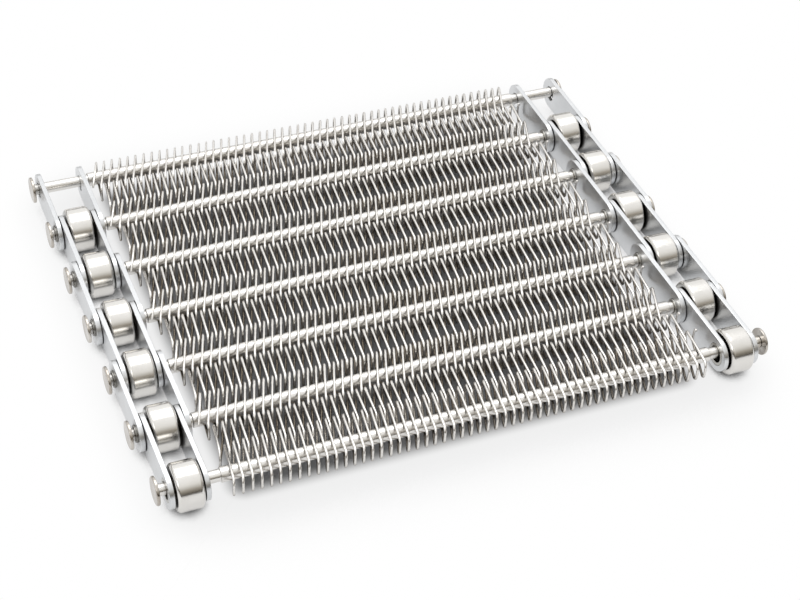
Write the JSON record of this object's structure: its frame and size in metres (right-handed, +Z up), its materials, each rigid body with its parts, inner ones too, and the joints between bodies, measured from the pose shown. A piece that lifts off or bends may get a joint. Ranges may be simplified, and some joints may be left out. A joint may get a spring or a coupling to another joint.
{
  "type": "wire mesh conveyor belt section",
  "caption": "Flat conveyor belt section of intermeshed flat wire spirals on cross rods, carried between two large-roller chains.",
  "frame": {"origin": "on the floor under the middle of the belt section", "axes": "+X along the cross rods, from the left chain to the right chain; +Y along the belt's travel, towards the end whose outer links have open holes; +Z up, out of the mesh"},
  "size_m": [0.3078, 0.2494, 0.0228],
  "materials": {
    "link_plate_steel": "stamped stainless steel, tumbled, satin",
    "pin_steel": "drawn stainless tube, plain",
    "roller_steel": "turned stainless steel, bright satin",
    "rod_steel": "drawn stainless bar, bright",
    "wire_steel": "drawn stainless wire, bright"
  },
  "bodies": {
    "link_row_1": {"row_1_outboard_plates": "link_plate_steel", "row_1_inboard_plates": "link_plate_steel", "row_1_hollow_pins": "pin_steel", "link_spiral_1": "wire_steel", "rod_spiral_0": "wire_steel"},
    "link_row_2": {"row_2_outboard_plates": "link_plate_steel", "row_2_inboard_plates": "link_plate_steel", "row_2_bushes": "pin_steel", "link_spiral_2": "wire_steel"},
    "link_row_3": {"row_3_outboard_plates": "link_plate_steel", "row_3_inboard_plates": "link_plate_steel", "row_3_hollow_pins": "pin_steel", "link_spiral_3": "wire_steel"},
    "link_row_4": {"row_4_outboard_plates": "link_plate_steel", "row_4_inboard_plates": "link_plate_steel", "row_4_bushes": "pin_steel", "link_spiral_4": "wire_steel"},
    "link_row_5": {"row_5_outboard_plates": "link_plate_steel", "row_5_inboard_plates": "link_plate_steel", "row_5_hollow_pins": "pin_steel", "link_spiral_5": "wire_steel"},
    "link_row_6": {"row_6_outboard_plates": "link_plate_steel", "row_6_inboard_plates": "link_plate_steel", "row_6_bushes": "pin_steel", "link_spiral_6": "wire_steel", "rod_spiral_6": "wire_steel"},
    "spiral_at_rod_1": {"rod_spiral_1": "wire_steel"},
    "spiral_at_rod_2": {"rod_spiral_2": "wire_steel"},
    "spiral_at_rod_3": {"rod_spiral_3": "wire_steel"},
    "spiral_at_rod_4": {"rod_spiral_4": "wire_steel"},
    "spiral_at_rod_5": {"rod_spiral_5": "wire_steel"},
    "rod_0": {"cross_rod_0": "rod_steel", "rod_0_heads": "rod_steel"},
    "rod_1": {"cross_rod_1": "rod_steel", "rod_1_heads": "rod_steel"},
    "rod_2": {"cross_rod_2": "rod_steel", "rod_2_heads": "rod_steel"},
    "rod_3": {"cross_rod_3": "rod_steel", "rod_3_heads": "rod_steel"},
    "rod_4": {"cross_rod_4": "rod_steel", "rod_4_heads": "rod_steel"},
    "rod_5": {"cross_rod_5": "rod_steel", "rod_5_heads": "rod_steel"},
    "rod_6": {"cross_rod_6": "rod_steel", "rod_6_heads": "rod_steel"},
    "left_wheel_1": {"left_roller_1": "roller_steel"},
    "left_wheel_2": {"left_roller_2": "roller_steel"},
    "left_wheel_3": {"left_roller_3": "roller_steel"},
    "left_wheel_4": {"left_roller_4": "roller_steel"},
    "left_wheel_5": {"left_roller_5": "roller_steel"},
    "left_wheel_6": {"left_roller_6": "roller_steel"},
    "right_wheel_1": {"right_roller_1": "roller_steel"},
    "right_wheel_2": {"right_roller_2": "roller_steel"},
    "right_wheel_3": {"right_roller_3": "roller_steel"},
    "right_wheel_4": {"right_roller_4": "roller_steel"},
    "right_wheel_5": {"right_roller_5": "roller_steel"},
    "right_wheel_6": {"right_roller_6": "roller_steel"}
  },
  "joints": [
    {"name": "bend_at_rod_2", "type": "hinge", "parent": "link_row_3", "child": "link_row_2", "pos_m": [0, 0.0392, 0.0114], "axis": [-1, 0, 0], "range_deg": [-40, 40]},
    {"name": "bend_at_rod_1", "type": "hinge", "parent": "link_row_2", "child": "link_row_1", "pos_m": [0, 0.0773, 0.0114], "axis": [-1, 0, 0], "range_deg": [-40, 40]},
    {"name": "bend_at_rod_3", "type": "hinge", "parent": "link_row_3", "child": "link_row_4", "pos_m": [0, 0.0011, 0.0114], "axis": [1, 0, 0], "range_deg": [-40, 40]},
    {"name": "bend_at_rod_4", "type": "hinge", "parent": "link_row_4", "child": "link_row_5", "pos_m": [0, -0.037, 0.0114], "axis": [1, 0, 0], "range_deg": [-40, 40]},
    {"name": "bend_at_rod_5", "type": "hinge", "parent": "link_row_5", "child": "link_row_6", "pos_m": [0, -0.0751, 0.0114], "axis": [1, 0, 0], "range_deg": [-40, 40]},
    {"name": "spiral_turn_1", "type": "hinge", "parent": "link_row_2", "child": "spiral_at_rod_1", "pos_m": [0, 0.0773, 0.0114], "axis": [-1, 0, 0], "range_deg": [-20, 20]},
    {"name": "spiral_turn_2", "type": "hinge", "parent": "link_row_3", "child": "spiral_at_rod_2", "pos_m": [0, 0.0392, 0.0114], "axis": [-1, 0, 0], "range_deg": [-20, 20]},
    {"name": "spiral_turn_3", "type": "hinge", "parent": "link_row_3", "child": "spiral_at_rod_3", "pos_m": [0, 0.0011, 0.0114], "axis": [1, 0, 0], "range_deg": [-20, 20]},
    {"name": "spiral_turn_4", "type": "hinge", "parent": "link_row_4", "child": "spiral_at_rod_4", "pos_m": [0, -0.037, 0.0114], "axis": [1, 0, 0], "range_deg": [-20, 20]},
    {"name": "spiral_turn_5", "type": "hinge", "parent": "link_row_5", "child": "spiral_at_rod_5", "pos_m": [0, -0.0751, 0.0114], "axis": [1, 0, 0], "range_deg": [-20, 20]},
    {"name": "rod_spin_0", "type": "hinge", "parent": "link_row_1", "child": "rod_0", "pos_m": [0, 0.1154, 0.0126], "axis": [1, 0, 0], "continuous": true},
    {"name": "rod_spin_1", "type": "hinge", "parent": "link_row_1", "child": "rod_1", "pos_m": [0, 0.0773, 0.0114], "axis": [1, 0, 0], "continuous": true},
    {"name": "rod_spin_2", "type": "hinge", "parent": "link_row_3", "child": "rod_2", "pos_m": [0, 0.0392, 0.0114], "axis": [1, 0, 0], "continuous": true},
    {"name": "rod_spin_3", "type": "hinge", "parent": "link_row_3", "child": "rod_3", "pos_m": [0, 0.0011, 0.0114], "axis": [1, 0, 0], "continuous": true},
    {"name": "rod_spin_4", "type": "hinge", "parent": "link_row_5", "child": "rod_4", "pos_m": [0, -0.037, 0.0114], "axis": [1, 0, 0], "continuous": true},
    {"name": "rod_spin_5", "type": "hinge", "parent": "link_row_5", "child": "rod_5", "pos_m": [0, -0.0751, 0.0114], "axis": [1, 0, 0], "continuous": true},
    {"name": "rod_spin_6", "type": "hinge", "parent": "link_row_6", "child": "rod_6", "pos_m": [0, -0.1132, 0.0127], "axis": [1, 0, 0], "continuous": true},
    {"name": "left_roller_spin_1", "type": "hinge", "parent": "link_row_2", "child": "left_wheel_1", "pos_m": [0, 0.0773, 0.0114], "axis": [1, 0, 0], "continuous": true},
    {"name": "left_roller_spin_2", "type": "hinge", "parent": "link_row_2", "child": "left_wheel_2", "pos_m": [0, 0.0392, 0.0114], "axis": [1, 0, 0], "continuous": true},
    {"name": "left_roller_spin_3", "type": "hinge", "parent": "link_row_4", "child": "left_wheel_3", "pos_m": [0, 0.0011, 0.0114], "axis": [1, 0, 0], "continuous": true},
    {"name": "left_roller_spin_4", "type": "hinge", "parent": "link_row_4", "child": "left_wheel_4", "pos_m": [0, -0.037, 0.0114], "axis": [1, 0, 0], "continuous": true},
    {"name": "left_roller_spin_5", "type": "hinge", "parent": "link_row_6", "child": "left_wheel_5", "pos_m": [0, -0.0751, 0.0114], "axis": [1, 0, 0], "continuous": true},
    {"name": "left_roller_spin_6", "type": "hinge", "parent": "link_row_6", "child": "left_wheel_6", "pos_m": [0, -0.1132, 0.0114], "axis": [1, 0, 0], "continuous": true},
    {"name": "right_roller_spin_1", "type": "hinge", "parent": "link_row_2", "child": "right_wheel_1", "pos_m": [0, 0.0773, 0.0114], "axis": [1, 0, 0], "continuous": true},
    {"name": "right_roller_spin_2", "type": "hinge", "parent": "link_row_2", "child": "right_wheel_2", "pos_m": [0, 0.0392, 0.0114], "axis": [1, 0, 0], "continuous": true},
    {"name": "right_roller_spin_3", "type": "hinge", "parent": "link_row_4", "child": "right_wheel_3", "pos_m": [0, 0.0011, 0.0114], "axis": [1, 0, 0], "continuous": true},
    {"name": "right_roller_spin_4", "type": "hinge", "parent": "link_row_4", "child": "right_wheel_4", "pos_m": [0, -0.037, 0.0114], "axis": [1, 0, 0], "continuous": true},
    {"name": "right_roller_spin_5", "type": "hinge", "parent": "link_row_6", "child": "right_wheel_5", "pos_m": [0, -0.0751, 0.0114], "axis": [1, 0, 0], "continuous": true},
    {"name": "right_roller_spin_6", "type": "hinge", "parent": "link_row_6", "child": "right_wheel_6", "pos_m": [0, -0.1132, 0.0114], "axis": [1, 0, 0], "continuous": true}
  ],
  "couplings": [
    {"joint": "spiral_turn_1", "follows": "bend_at_rod_1", "ratio": 0.5},
    {"joint": "spiral_turn_2", "follows": "bend_at_rod_2", "ratio": 0.5},
    {"joint": "spiral_turn_3", "follows": "bend_at_rod_3", "ratio": 0.5},
    {"joint": "spiral_turn_4", "follows": "bend_at_rod_4", "ratio": 0.5},
    {"joint": "spiral_turn_5", "follows": "bend_at_rod_5", "ratio": 0.5}
  ]
}
